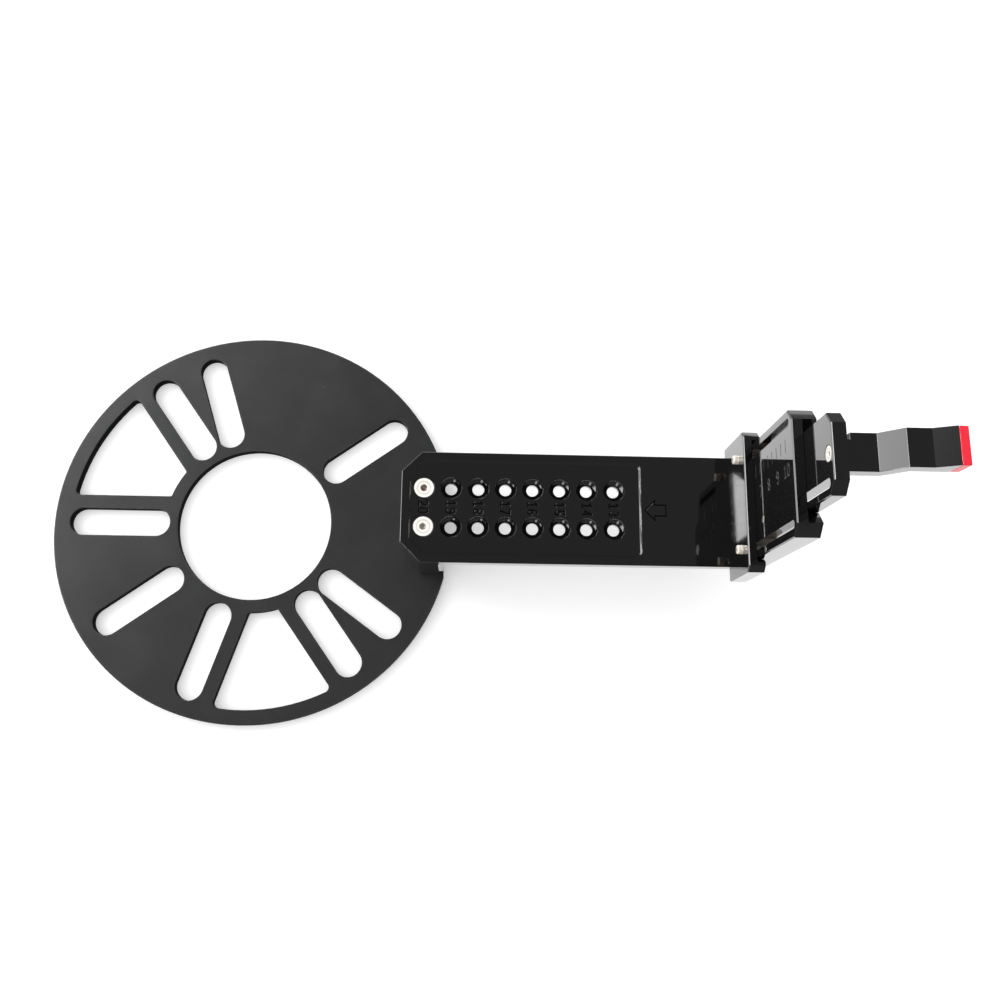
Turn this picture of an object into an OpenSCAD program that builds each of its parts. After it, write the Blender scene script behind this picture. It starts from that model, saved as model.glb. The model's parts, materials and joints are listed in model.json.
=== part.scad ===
// Wheel fitment offset gauge: a hub plate, an arm set by wheel diameter,
// and two nested slides that carry a stepped finger with a red tip.
// The origin is the centre of the hub bore on the face that seats on the hub.
// +X runs along the arm and +Z points away from the hub. Lengths are in mm.

/* [Hub plate] */
// Diameter of the hub plate
hub_plate_d = 200; // [196:1:215]
// Thickness of the hub plate
hub_plate_t = 5.5; // [5:0.5:12]
// Diameter of the centre bore
hub_bore_d = 77.4; // [60:0.2:82]
// Width of each lug slot
lug_slot_w = 14; // [12:0.5:15]
// Ring of plate between the bore and a lug slot
lug_slot_ring = 3.8; // [3:0.1:8]
// Rim of plate outside a lug slot
lug_slot_rim = 7.5; // [5:0.1:12]
// Least wall between two neighbouring lug slots
lug_slot_wall = 1.4; // [1:0.1:3]
// Angle of the first lug slot from the arm
lug_first_angle = 36; // [34:1:38]
// Wall between a lug slot and a window
window_web = 6.7; // [5:0.1:8]
// Ring of plate between the bore and a window
window_bore_ring = 6.3; // [5:0.1:9]
// Rim of plate outside a window
window_rim = 7.4; // [5:0.1:10]
// Fillet radius at a window's outer corners
window_outer_fillet = 2.5; // [1:0.1:4]
// Fillet radius at a window's inner corners
window_inner_fillet = 1; // [0.5:0.1:2]

/* [Riser block] */
// Length of the riser block along the arm
riser_l = 19.4; // [18:0.2:22]
// Width of the riser block
riser_w = 49.2; // [40:0.2:50]
// Height of the riser block
riser_h = 42; // [30:1:60]
// Corner cut on the hub side of the riser block
riser_corner = 8; // [4:0.5:9]
// Corner cut on the outer side of the riser block
riser_outer_corner = 2; // [1:0.5:4]
// Distance between the two screws under the riser block
riser_screw_pitch = 26; // [22:1:30]

/* [Diameter arm] */
// Distance from the hub plate's rim inwards to the first pair of holes
first_hole_rim = 12.4; // [11:0.1:13]
// Distance between neighbouring pairs, half an inch of wheel radius
hole_pitch = 12.7; // [12:0.1:14]
// Number of hole pairs
hole_pairs = 8; // [2:1:10]
// Number engraved at the first pair of holes
first_number = 20; // [18:1:24]
// Distance between the two holes of a pair
hole_spacing = 18.4; // [18:0.1:20]
// Length of the arm before the first pair
arm_lead = 10.4; // [9.5:0.1:11]
// Length of the arm after the last pair
arm_tail = 54.8; // [50:0.2:80]
// Width of the arm
arm_w = 52.4; // [50:0.2:58]
// Thickness of the arm
arm_t = 6.4; // [6:0.2:10]
// Corner cut at the hub end of the arm
arm_corner = 9.3; // [5:0.1:10]
// Border of full thickness round the recess in the arm
recess_border = 3.8; // [3.4:0.1:6]
// Length of the recess past the last pair
recess_tail = 12.8; // [10:0.2:16]
// Depth of the recess
recess_depth = 1; // [0.4:0.1:1.4]
// Width of the sloping wall round the recess
recess_slope = 0.8; // [0.2:0.1:1.6]
// Corner radius at the outer end of the recess
recess_corner = 3; // [2:0.5:6]

/* [End plate] */
// Width of the end plate
end_plate_w = 64.2; // [60:0.2:80]
// Thickness of the end plate
end_plate_t = 7.5; // [7:0.1:9]
// Height of the end plate
end_plate_h = 31.6; // [26:0.2:40]
// Depth of the channel in the end plate
end_channel_depth = 3.6; // [2:0.1:4]
// Corner cut at the top of the end plate
end_plate_corner = 2.7; // [1:0.1:3]
// Distance between the two screws into the arm's end
end_screw_pitch = 30; // [20:1:32]
// Height of the clamp screws above the arm's top face
clamp_height = 16; // [12:0.5:20]
// Length of clamp screw that shows behind the end plate
clamp_stub = 2.4; // [1:0.1:4]

/* [Width slide] */
// Width of the width slide
width_slide_w = 52.2; // [51:0.2:56]
// Thickness of the width slide
width_slide_t = 10.4; // [10:0.1:12]
// Length of the width slide
width_slide_l = 95; // [80:1:120]
// How far the width slide stands above the arm's top face
width_slide_out = 77; // [60:0.5:90]
// Corner cut at the top of the width slide, across and down
width_slide_corner = [5, 4.5]; // [3:0.1:6]
// Distance between the two slots of the width slide
width_slot_pitch = 41.6; // [41:0.2:43]
// Material left above the slots of the width slide
width_slot_top = 3.1; // [3:0.1:6]
// Material left below the slots of the width slide
width_slot_foot = 4; // [3:0.1:8]

/* [Rim slide] */
// Width of the rim slide
rim_slide_w = 31.8; // [30:0.2:33]
// Thickness of the rim slide
rim_slide_t = 5.8; // [4:0.1:6]
// Length of the rim slide
rim_slide_l = 85; // [70:1:100]
// How far the rim slide stands above the width slide
rim_slide_out = 28; // [20:0.5:34]
// Corner cut at the top of the rim slide, across and down
rim_slide_corner = [5, 4.4]; // [3:0.1:6]
// Material left above the slot of the rim slide
rim_slot_top = 4; // [3.5:0.1:6]
// Material left below the slot of the rim slide
rim_slot_foot = 5; // [3:0.1:8]
// Height of the rim clamp screw below the width slide's top
rim_clamp_drop = 41.6; // [38:0.2:46]

/* [Rim arm] */
// Width of the rim arm
rim_arm_w = 14.8; // [12:0.2:14.8]
// Thickness of the rim arm
rim_arm_t = 6; // [5.8:0.1:7]
// Drop from the rim slide's top to the rim arm's top
rim_arm_drop = 1.3; // [1:0.1:4]
// Length of the rim arm's first level
root_l = 11.6; // [9:0.1:20]
// Length of the first slope along the arm
step_run = 7.8; // [6:0.1:12]
// Rise of the first slope
step_rise = 7.5; // [5:0.1:10]
// Length of the level after the first slope
shelf_l = 9.2; // [5:0.1:15]
// Length of the second slope along the arm
nose_run = 8; // [6:0.1:12]
// Rise of the second slope
nose_rise = 3.9; // [2:0.1:6]
// Thickness of the red tip
tip_t = 3.7; // [2:0.1:6]
// Notch beside the rim arm's root, across and along
root_notch = [2.6, 1.5]; // [0.8:0.1:4.8]

/* [Fasteners] */
// Thread diameter of the arm and riser screws
large_screw_d = 5; // [4:0.5:5]
// Head diameter of the arm and riser screws
large_head_d = 9.2; // [8:0.1:9.4]
// Length of an arm screw, head included
arm_screw_l = 14; // [12:1:16]
// Length of a riser screw, head included
riser_screw_l = 16; // [14:1:20]
// Outer diameter of the large threaded inserts
large_insert_d = 7; // [6.2:0.1:7.4]
// Length of the large threaded inserts
large_insert_l = 9.5; // [6:0.5:12]
// Thread diameter of the small screws
small_screw_d = 3; // [2.5:0.1:3]
// Head diameter of the small countersunk screws
small_head_d = 5.9; // [5:0.1:6]
// Length of a screw into the arm's end, head included
end_screw_l = 16; // [12:1:20]
// Length of the screw into the rim arm, head included
rim_screw_l = 14; // [12:1:16]
// Diameter of the clamp screw heads
cap_head_d = 5.5; // [4.5:0.1:5.7]
// Height of the clamp screw heads
cap_head_h = 3; // [2:0.1:4]
// Outer diameter of the washers on the width slide
width_washer_d = 7; // [6.5:0.1:8]
// Outer diameter of the washer on the rim slide
rim_washer_d = 6; // [5.8:0.1:6.2]
// Thickness of the washers
washer_t = 0.5; // [0.3:0.1:1]
// Outer diameter of the small threaded inserts
small_insert_d = 4.6; // [4.2:0.1:5]
// Wall left behind the small threaded inserts
insert_floor = 0.9; // [0.6:0.1:2]

/* [Engraving] */
// Height of the numbers on the arm
arm_digit_h = 5; // [4:0.1:6]
// Height of the numbers on the width slide
scale_digit_h = 5.6; // [3.6:0.1:6]
// Stroke width of the numbers, as a share of their height
stroke_share = 0.15; // [0.1:0.01:0.2]
// Depth of all engraved lines
engrave_depth = 0.4; // [0.2:0.1:0.5]
// Length of the arrow on the arm
arrow_l = 10; // [8:0.5:14]
// Distance from the recess to the arrow's point
arrow_gap = 1.6; // [1:0.1:4]
// Distance between neighbouring lines of the scale
scale_pitch = 5.7; // [5:0.1:7]
// Number of lines on the scale
scale_lines = 11; // [6:1:11]
// Length of the scale's lines
scale_line_l = 5.2; // [4:0.2:8]
// Distance from the left slot to the scale's lines
scale_edge = 4.5; // [1:0.1:5]
// Distance from a line to its number
scale_number_gap = 4.7; // [0.6:0.1:5]
// Width of the scale's lines
scale_line_w = 0.5; // [0.3:0.1:0.8]
// Largest number on the scale, at its top
scale_first_number = 10; // [8:1:12]
// Distance from the width slide's top to the scale's first line
scale_top = 8.5; // [6:0.5:10]

/* [Fits] */
// Gap between sliding faces
slide_gap = 0.12; // [0.08:0.01:0.2]
// Gap round a thread in its insert or hole
thread_gap = 0.03; // [0.02:0.01:0.05]
// Gap round an insert pressed into plastic
insert_gap = 0.02; // [0.01:0.01:0.04]
// Gap round a large screw's head, and how far it sits below its face
large_head_gap = 0.4; // [0.1:0.05:0.5]
// Gap round a small countersunk head, and how far it sits below its face
small_head_gap = 0.15; // [0.1:0.01:0.2]
// Play round a screw in a plain hole
screw_play = 0.2; // [0.1:0.05:0.3]
// Play round a screw in the arm's holes
arm_hole_play = 0.3; // [0.2:0.05:0.5]
// Play round a clamp screw in the slots of the width slide
width_slot_play = 0.2; // [0.1:0.05:0.4]
// Play round the clamp screw in the slot of the rim slide
rim_slot_play = 0.4; // [0.1:0.05:0.5]
// Gap between the rim arm and the rim clamp's washer when they pass
rim_pass_gap = 0.4; // [0.3:0.1:1]
// Extra depth of a hole past its screw or insert
hole_extra = 2; // [1:0.5:2.5]
// Edge bevel on the plates
edge_bevel = 0.5; // [0.2:0.1:0.8]

/* [Hidden] */

// Smoothness of bores and of screw heads
bore_fn = 96;
screw_fn = 40;
// Overlap that makes a cut pass cleanly through a face
over = 1;
// Hex sockets: depth as a share of the head, and width as a share of the thread
flat_socket_depth = 0.8;
flat_socket_width = 0.69;
cap_socket_depth = 0.55;
cap_socket_width = 0.96;
// Share of a thread's radius that its end bevel takes
thread_bevel = 0.2;
// Where an insert's waist starts and ends, as shares of its length
waist_from = 0.4;
waist_to = 0.6;

black = "#1d1d1f";
nickel = "#d9d3c6";
gold = "#c9a24b";
red = "#eb2837";

// Lug slots: five on a five-stud pattern, and three more on a four-stud pattern
function five_lug(i) = lug_first_angle + 72 * i;
function four_lug(i) = lug_first_angle + 90 * i;
lug_angles = [for (i = [0:4]) five_lug(i), for (i = [1:3]) four_lug(i)];
window_spans = [[four_lug(1), five_lug(2)], [five_lug(3), four_lug(3)]];
// Slots start past the bore's ring, and far enough out to keep a wall between the closest two
closest_lugs = four_lug(1) - five_lug(1);
lug_slot_in = max(hub_bore_d / 2 + lug_slot_ring + lug_slot_w / 2,
    (lug_slot_w + lug_slot_wall) / (2 * sin(closest_lugs / 2)));
lug_slot_out = hub_plate_d / 2 - lug_slot_rim - lug_slot_w / 2;
window_in_r = hub_bore_d / 2 + window_bore_ring;
window_out_r = hub_plate_d / 2 - window_rim;
window_side = lug_slot_w / 2 + window_web;

// Levels from the hub face upwards
riser_z0 = hub_plate_t;
arm_z0 = riser_z0 + riser_h;
arm_z1 = arm_z0 + arm_t;
recess_z = arm_z1 - recess_depth;

// Holes and slots that a screw passes through
arm_hole_d = large_screw_d + arm_hole_play * 2;
width_slot_w = small_screw_d + width_slot_play * 2;
rim_slot_w = small_screw_d + rim_slot_play * 2;

// The arm and the riser block share their hub end, near the hub plate's rim
first_hole_r = hub_plate_d / 2 - first_hole_rim;
arm_x0 = first_hole_r - arm_lead;
last_hole_x = first_hole_r + (hole_pairs - 1) * hole_pitch;
arm_x1 = last_hole_x + arm_tail;
riser_x0 = arm_x0;
riser_x1 = riser_x0 + riser_l;
riser_mid_x = riser_x0 + riser_l / 2;
recess_x0 = arm_x0 + recess_border;
recess_x1 = last_hole_x + recess_tail;
recess_half_w = arm_w / 2 - recess_border;

// The end plate closes the arm; its channel guides the width slide
end_plate_x1 = arm_x1 + end_plate_t;
end_floor_x = end_plate_x1 - end_channel_depth;
end_plate_z1 = arm_z0 + end_plate_h;
end_rail = (end_plate_w - width_slide_w) / 2 - slide_gap;
clamp_z = arm_z1 + clamp_height;
end_insert_l = end_plate_t - end_channel_depth - insert_floor;

// The width slide runs on the floor of the end plate's channel
width_x0 = end_floor_x + slide_gap;
width_x1 = width_x0 + width_slide_t;
width_z1 = arm_z1 + width_slide_out;
width_z0 = width_z1 - width_slide_l;
width_slot_y = width_slot_pitch / 2;
width_slot_z0 = width_z0 + width_slot_foot;
width_slot_z1 = width_z1 - width_slot_top;

// The rim slide runs in the width slide's channel, flush with its face
rim_x1 = width_x1;
rim_x0 = rim_x1 - rim_slide_t;
rim_floor_x = rim_x0 - slide_gap;
rim_z1 = width_z1 + rim_slide_out;
rim_z0 = rim_z1 - rim_slide_l;
rim_slot_z0 = rim_z0 + rim_slot_foot;
rim_slot_z1 = rim_z1 - rim_slot_top;
rim_clamp_z = width_z1 - rim_clamp_drop;
rim_slot_offset = rim_arm_w / 2 + rim_pass_gap + rim_washer_d / 2;
rim_insert_l = rim_floor_x - width_x0 - insert_floor;
width_rail_w = width_slide_w / 2 - rim_slide_w / 2 - slide_gap;

// The clamp screws press their washers on the slides
washer_x = width_x1 + slide_gap;
cap_seat_x = washer_x + washer_t;
clamp_end_x = arm_x1 - clamp_stub;
rim_clamp_end_x = width_x0 + edge_bevel;

// The rim arm leaves the rim slide's outer face
rim_arm_z1 = rim_z1 - rim_arm_drop;
rim_arm_z0 = rim_arm_z1 - rim_arm_t;
rim_arm_mid_z = (rim_arm_z0 + rim_arm_z1) / 2;
shelf_z1 = rim_arm_z1 + step_rise;
nose_z1 = shelf_z1 + nose_rise;
step_x0 = rim_x1 + root_l;
step_x1 = step_x0 + step_run;
shelf_x1 = step_x1 + shelf_l;
nose_x1 = shelf_x1 + nose_run;
// A slope of even thickness moves its lower corners along by this much
step_shift = rim_arm_t * (norm([step_run, step_rise]) - step_run) / step_rise;

// Countersunk heads reach down by the slope of a right-angled cone and a short edge
head_edge = 0.3;
function head_depth(head_d, screw_d) = head_edge + (head_d - screw_d) / 2;

// Outline of an upright plate with cut top corners, drawn inwards by inset
function plate_outline(half_w, z0, z1, corner, inset) =
    let (slope = norm(corner))
    let (low = z1 - corner[1] - inset * (slope - corner[1]) / corner[0])
    let (near = half_w - corner[0] - inset * (slope - corner[0]) / corner[1])
    [[-half_w + inset, z0 + inset], [half_w - inset, z0 + inset], [half_w - inset, low],
     [near, z1 - inset], [-near, z1 - inset], [-half_w + inset, low]];

// Outline of the arm, with its two cut corners, drawn inwards by inset
function arm_outline(inset) =
    let (cut = arm_corner + inset * (sqrt(2) - 2))
    let (x0 = arm_x0 + inset)
    let (y = arm_w / 2 - inset)
    [[x0 + cut, -y], [arm_x1, -y], [arm_x1, y], [x0 + cut, y], [x0, y - cut], [x0, -y + cut]];

// An upright slab between two stations along the arm
module slab(outline, x0, x1) {
    translate([x0, 0, 0])
        rotate([90, 0, 90])
            linear_extrude(height = x1 - x0)
                polygon(outline);
}

// An upright plate whose face on the hub side has a bevelled edge
module bevelled_plate(half_w, z0, z1, corner, x0, x1) {
    skin = 0.01;
    hull() {
        slab(plate_outline(half_w, z0, z1, corner, edge_bevel), x0, x0 + skin);
        slab(plate_outline(half_w, z0, z1, corner, 0), x0 + edge_bevel, x1);
    }
}

// A box given by its low and high corners
module box(low, high) {
    translate(low)
        cube(high - low);
}

// A round bar or bore along the arm
module along_arm(r, x0, x1, y, z) {
    translate([x0, y, z])
        rotate([0, 90, 0])
            cylinder(r = r, h = x1 - x0, $fn = screw_fn);
}

// A vertical slot cut through a slide from one station to another
module slide_slot(width, x0, x1, y, z0, z1) {
    r = width / 2;
    along_arm(r, x0, x1, y, z0 + r);
    along_arm(r, x0, x1, y, z1 - r);
    box([x0, y - r, z0 + r], [x1, y + r, z1 - r]);
}

// Lead-in slopes at the top of a channel whose rails reach up to z1
module channel_lead_in(x0, x1, half_w, z1, lead) {
    slab([[-half_w - lead[0], z1 + over], [-half_w - lead[0], z1], [-half_w, z1 - lead[1]],
        [half_w, z1 - lead[1]], [half_w + lead[0], z1], [half_w + lead[0], z1 + over]], x0, x1);
}

// A countersunk socket screw that hangs from its flush head at z = 0
module countersunk_screw(screw_d, head_d, length) {
    r = screw_d / 2;
    head_r = head_d / 2;
    deep = head_depth(head_d, screw_d);
    tip = r * thread_bevel;
    difference() {
        rotate_extrude($fn = screw_fn)
            polygon([[0, 0], [head_r, 0], [head_r, -head_edge], [r, -deep],
                [r, tip - length], [r - tip, -length], [0, -length]]);
        translate([0, 0, -deep * flat_socket_depth])
            cylinder(d = screw_d * flat_socket_width, h = deep + over, $fn = 6);
    }
}

// The hole for a countersunk screw, through a plate of thickness depth
module countersink(head_d, depth, hole_d, gap) {
    r = hole_d / 2;
    head_r = head_d / 2 + gap;
    straight = head_edge + gap / 2;
    translate([0, 0, -depth - over])
        cylinder(r = r, h = depth + over * 2, $fn = screw_fn);
    translate([0, 0, -straight - (head_r - r)])
        cylinder(r1 = r, r2 = head_r, h = head_r - r, $fn = screw_fn);
    translate([0, 0, -straight])
        cylinder(r = head_r, h = straight + over, $fn = screw_fn);
}

// A socket cap screw whose head seats at z = 0 and whose thread points down
module cap_screw(length) {
    r = small_screw_d / 2;
    head_r = cap_head_d / 2;
    bevel = cap_head_h * 0.1;
    tip = r * thread_bevel;
    difference() {
        rotate_extrude($fn = screw_fn)
            polygon([[0, cap_head_h], [head_r - bevel, cap_head_h], [head_r, cap_head_h - bevel],
                [head_r, 0], [r, 0], [r, tip - length], [r - tip, -length], [0, -length]]);
        translate([0, 0, cap_head_h * (1 - cap_socket_depth)])
            cylinder(d = small_screw_d * cap_socket_width, h = cap_head_h, $fn = 6);
    }
}

// A brass insert with a waist, its open end at z = 0 and its body below
module insert(screw_d, outer_d, length) {
    bore = screw_d / 2 + thread_gap;
    r = outer_d / 2;
    groove = (r - bore) * 0.4;
    rotate_extrude($fn = screw_fn)
        polygon([[bore, 0], [r, 0], [r, -length * waist_from],
            [r - groove, -length * waist_from - groove],
            [r - groove, -length * waist_to + groove],
            [r, -length * waist_to], [r, -length], [bore, -length]]);
}

// The pocket for an insert, with a narrower hole of hole_depth for its screw
module insert_pocket(screw_d, outer_d, length, hole_depth) {
    translate([0, 0, -length - insert_gap])
        cylinder(d = outer_d + insert_gap * 2, h = length + insert_gap + over, $fn = screw_fn);
    translate([0, 0, -hole_depth])
        cylinder(d = screw_d + screw_play * 2, h = hole_depth + over, $fn = screw_fn);
}

// A flat washer on z = 0
module washer(outer_d) {
    difference() {
        cylinder(d = outer_d, h = washer_t, $fn = screw_fn);
        translate([0, 0, -over])
            cylinder(d = small_screw_d + thread_gap * 2, h = washer_t + over * 2, $fn = screw_fn);
    }
}

// One straight stroke of a number, from a to b
module stroke(a, b, width) {
    along = (b - a) / norm(b - a) * width / 2;
    side = [-along[1], along[0]];
    polygon([a - along - side, b + along - side, b + along + side, a - along + side]);
}

// One round stroke about a centre, from one angle to another
module arc_stroke(centre, r, from, to, width) {
    steps = ceil((to - from) / 30);
    angles = [for (i = [0:steps]) from + (to - from) * i / steps];
    outer = [for (a = angles) centre + (r + width / 2) * [cos(a), sin(a)]];
    inner = [for (i = [steps:-1:0]) centre + (r - width / 2) * [cos(angles[i]), sin(angles[i])]];
    polygon(concat(outer, inner));
}

// One digit, two bowls high, centred; u is the radius of a bowl
module digit(n, u, w) {
    top = [0, u];
    low = [0, -u];
    if (n == 0) {
        arc_stroke(top, u, 0, 180, w);
        arc_stroke(low, u, 180, 360, w);
        stroke([-u, -u], [-u, u], w);
        stroke([u, -u], [u, u], w);
    }
    if (n == 1) {
        stroke([0, -2 * u], [0, 2 * u], w);
        stroke([-0.8 * u, 1.3 * u], [0, 2 * u], w);
        stroke([-0.8 * u, -2 * u], [0.8 * u, -2 * u], w);
    }
    if (n == 2) {
        arc_stroke(top, u, -30, 180, w);
        stroke([0.87 * u, 0.5 * u], [-u, -2 * u], w);
        stroke([-u, -2 * u], [u, -2 * u], w);
    }
    if (n == 3) {
        arc_stroke(top, u, -90, 150, w);
        arc_stroke(low, u, -150, 90, w);
    }
    if (n == 4) {
        stroke([0.5 * u, -2 * u], [0.5 * u, 2 * u], w);
        stroke([0.5 * u, 2 * u], [-u, -0.8 * u], w);
        stroke([-u, -0.8 * u], [u, -0.8 * u], w);
    }
    if (n == 5) {
        stroke([-0.8 * u, 2 * u], [u, 2 * u], w);
        stroke([-0.8 * u, 2 * u], [-0.8 * u, -0.4 * u], w);
        arc_stroke(low, u, -150, 143, w);
    }
    if (n == 6) {
        arc_stroke(top, u, 30, 180, w);
        stroke([-u, -u], [-u, u], w);
        arc_stroke(low, u, 0, 180, w);
        arc_stroke(low, u, 180, 360, w);
    }
    if (n == 7) {
        stroke([-u, 2 * u], [u, 2 * u], w);
        stroke([u, 2 * u], [-0.3 * u, -2 * u], w);
    }
    if (n == 8) {
        arc_stroke(top, u, -90, 90, w);
        arc_stroke(top, u, 90, 270, w);
        arc_stroke(low, u, -90, 90, w);
        arc_stroke(low, u, 90, 270, w);
    }
    if (n == 9) {
        arc_stroke(top, u, 0, 180, w);
        arc_stroke(top, u, 180, 360, w);
        stroke([u, -u], [u, u], w);
        arc_stroke(low, u, -150, 0, w);
    }
}

// A whole number of one or two digits, centred, drawn from left to right
module number(value, height) {
    w = height * stroke_share;
    u = (height - w) / 4;
    pitch = 2 * u + w * 1.9;
    tens = floor(value / 10);
    ones = value - tens * 10;
    if (tens > 0) {
        translate([-pitch / 2, 0])
            digit(tens, u, w);
        translate([pitch / 2, 0])
            digit(ones, u, w);
    } else {
        digit(ones, u, w);
    }
}

// One corner fillet of a window, as the piece of corner that stays
module window_corner(side_angle, turn, arc_r, fillet, outwards) {
    centre_r = arc_r - outwards * fillet;
    across = window_side + fillet;
    along = sqrt(centre_r * centre_r - across * across);
    away = norm([along, across]);
    far = away + outwards * fillet * 3;
    rotate(side_angle)
        scale([1, turn, 1])
            difference() {
                polygon([[along, across], [along, across - fillet],
                    [along + outwards * fillet * 3, across - fillet * 2],
                    [along, across] * far / away]);
                translate([along, across])
                    circle(r = fillet, $fn = screw_fn);
            }
}

// A window between two lug slots
module window(span) {
    reach = hub_plate_d;
    difference() {
        circle(r = window_out_r, $fn = bore_fn);
        circle(r = window_in_r, $fn = bore_fn);
        rotate(span[0])
            translate([-reach, window_side - reach * 2])
                square(reach * 2);
        rotate(span[1])
            translate([-reach, -window_side])
                square(reach * 2);
        window_corner(span[0], 1, window_out_r, window_outer_fillet, 1);
        window_corner(span[1], -1, window_out_r, window_outer_fillet, 1);
        window_corner(span[0], 1, window_in_r, window_inner_fillet, -1);
        window_corner(span[1], -1, window_in_r, window_inner_fillet, -1);
    }
}

// The plate that seats on the hub, with its bore, lug slots and windows
module hub_plate() {
    plate_r = hub_plate_d / 2;
    bevel = edge_bevel / 2;
    color(black)
        difference() {
            union() {
                cylinder(r = plate_r, h = hub_plate_t - bevel, $fn = bore_fn * 2);
                translate([0, 0, hub_plate_t - bevel])
                    cylinder(r1 = plate_r, r2 = plate_r - bevel, h = bevel, $fn = bore_fn * 2);
            }
            translate([0, 0, -over])
                cylinder(d = hub_bore_d, h = hub_plate_t + over * 2, $fn = bore_fn);
            for (angle = lug_angles)
                rotate(angle)
                    lug_slot();
            for (span = window_spans)
                translate([0, 0, -over])
                    linear_extrude(height = hub_plate_t + over * 2)
                        window(span);
            for (side = [-1, 1])
                translate([riser_mid_x, side * riser_screw_pitch / 2, 0])
                    mirror([0, 0, 1])
                        countersink(large_head_d, hub_plate_t,
                            large_screw_d + screw_play * 2, large_head_gap);
            // The rim is cut straight, flush with the outer face of the riser block
            translate([riser_x1, -plate_r, -over])
                cube([plate_r, hub_plate_d, hub_plate_t + over * 2]);
        }
}

// One radial lug slot, along +X
module lug_slot() {
    r = lug_slot_w / 2;
    high = hub_plate_t + over * 2;
    for (x = [lug_slot_in, lug_slot_out])
        translate([x, 0, -over])
            cylinder(r = r, h = high, $fn = screw_fn);
    box([lug_slot_in, -r, -over], [lug_slot_out, r, -over + high]);
}

// The block that carries the arm above the hub plate
module riser_block() {
    y = riser_w / 2;
    a = riser_corner;
    b = riser_outer_corner;
    color(black)
        difference() {
            translate([0, 0, riser_z0])
                linear_extrude(height = riser_h)
                    polygon([[riser_x0 + a, -y], [riser_x1 - b, -y], [riser_x1, -y + b], [riser_x1, y - b],
                        [riser_x1 - b, y], [riser_x0 + a, y], [riser_x0, y - a], [riser_x0, -y + a]]);
            for (side = [-1, 1]) {
                translate([first_hole_r, side * hole_spacing / 2, arm_z0])
                    insert_pocket(large_screw_d, large_insert_d, large_insert_l,
                        max(arm_screw_l, large_insert_l) + hole_extra);
                translate([riser_mid_x, side * riser_screw_pitch / 2, riser_z0])
                    mirror([0, 0, 1])
                        insert_pocket(large_screw_d, large_insert_d, large_insert_l,
                            max(riser_screw_l - hub_plate_t, large_insert_l) + hole_extra);
            }
        }
}

// Threaded insert in the foot of the riser block
module riser_insert(side) {
    color(gold)
        translate([riser_mid_x, side * riser_screw_pitch / 2, riser_z0])
            mirror([0, 0, 1])
                insert(large_screw_d, large_insert_d, large_insert_l);
}

// Screw from under the hub plate into the riser block
module riser_screw(side) {
    color(nickel)
        translate([riser_mid_x, side * riser_screw_pitch / 2, large_head_gap])
            mirror([0, 0, 1])
                countersunk_screw(large_screw_d, large_head_d, riser_screw_l);
}

// Threaded insert in the top of the riser block
module arm_insert(side) {
    color(gold)
        translate([first_hole_r, side * hole_spacing / 2, arm_z0])
            insert(large_screw_d, large_insert_d, large_insert_l);
}

// Screw that holds the arm at the chosen wheel diameter
module arm_screw(side) {
    color(nickel)
        translate([first_hole_r, side * hole_spacing / 2, recess_z - large_head_gap])
            countersunk_screw(large_screw_d, large_head_d, arm_screw_l);
}

// Outline of the recess, with cut corners at the hub end, drawn inwards by inset
module recess_outline(inset) {
    x0 = recess_x0 + inset;
    x1 = recess_x1 - inset;
    y = recess_half_w - inset;
    r = recess_corner - inset;
    cut = arm_corner - (recess_border + inset) * (2 - sqrt(2));
    polygon([[x0 + cut, -y], [x1 - r, -y], [x1 - r, y], [x0 + cut, y], [x0, y - cut],
        [x0, -y + cut]]);
    for (side = [-1, 1])
        translate([x1 - r, side * (y - r)])
            circle(r = r, $fn = screw_fn);
}

// Shallow recess round the rows of holes, with sloping walls
module arm_recess() {
    skin = 0.01;
    hull() {
        translate([0, 0, recess_z])
            linear_extrude(height = skin)
                recess_outline(recess_slope);
        translate([0, 0, arm_z1 + over])
            linear_extrude(height = skin)
                recess_outline(-recess_slope * over / recess_depth);
    }
}

// Outline arrow that points back along the arm, with its point at the origin
module arrow() {
    w = arm_digit_h * stroke_share * 0.8;
    head = arrow_l * 0.47;
    half = arrow_l * 0.26;
    path = [[0, 0], [head, head], [head, half], [arrow_l, half],
        [arrow_l, -half], [head, -half], [head, -head], [0, 0]];
    for (i = [0:len(path) - 2])
        stroke(path[i], path[i + 1], w);
}

// The arm, drilled in pairs for each wheel diameter
module diameter_arm() {
    skin = 0.01;
    bevel = edge_bevel / 2;
    color(black)
        difference() {
            hull() {
                translate([0, 0, arm_z0])
                    linear_extrude(height = arm_t - bevel)
                        polygon(arm_outline(0));
                translate([0, 0, arm_z1 - skin])
                    linear_extrude(height = skin)
                        polygon(arm_outline(bevel));
            }
            arm_recess();
            for (i = [0:hole_pairs - 1])
                translate([first_hole_r + i * hole_pitch, 0, recess_z]) {
                    for (side = [-1, 1])
                        translate([0, side * hole_spacing / 2, 0])
                            countersink(large_head_d, arm_t - recess_depth,
                                arm_hole_d, large_head_gap);
                    translate([0, 0, -engrave_depth])
                        linear_extrude(height = engrave_depth + over)
                            rotate(-90)
                                number(first_number - i, arm_digit_h);
                }
            translate([recess_x1 + arrow_gap, 0, arm_z1 - engrave_depth])
                linear_extrude(height = engrave_depth + over)
                    arrow();
            for (side = [-1, 1])
                end_screw_hole(side, arm_x1 + over);
        }
}

// Hole for a screw from the end plate, from the arm's inside out to x1
module end_screw_hole(side, x1) {
    along_arm(small_screw_d / 2 + thread_gap, end_floor_x - end_screw_l - hole_extra, x1,
        side * end_screw_pitch / 2, arm_z0 + arm_t / 2);
}

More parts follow.
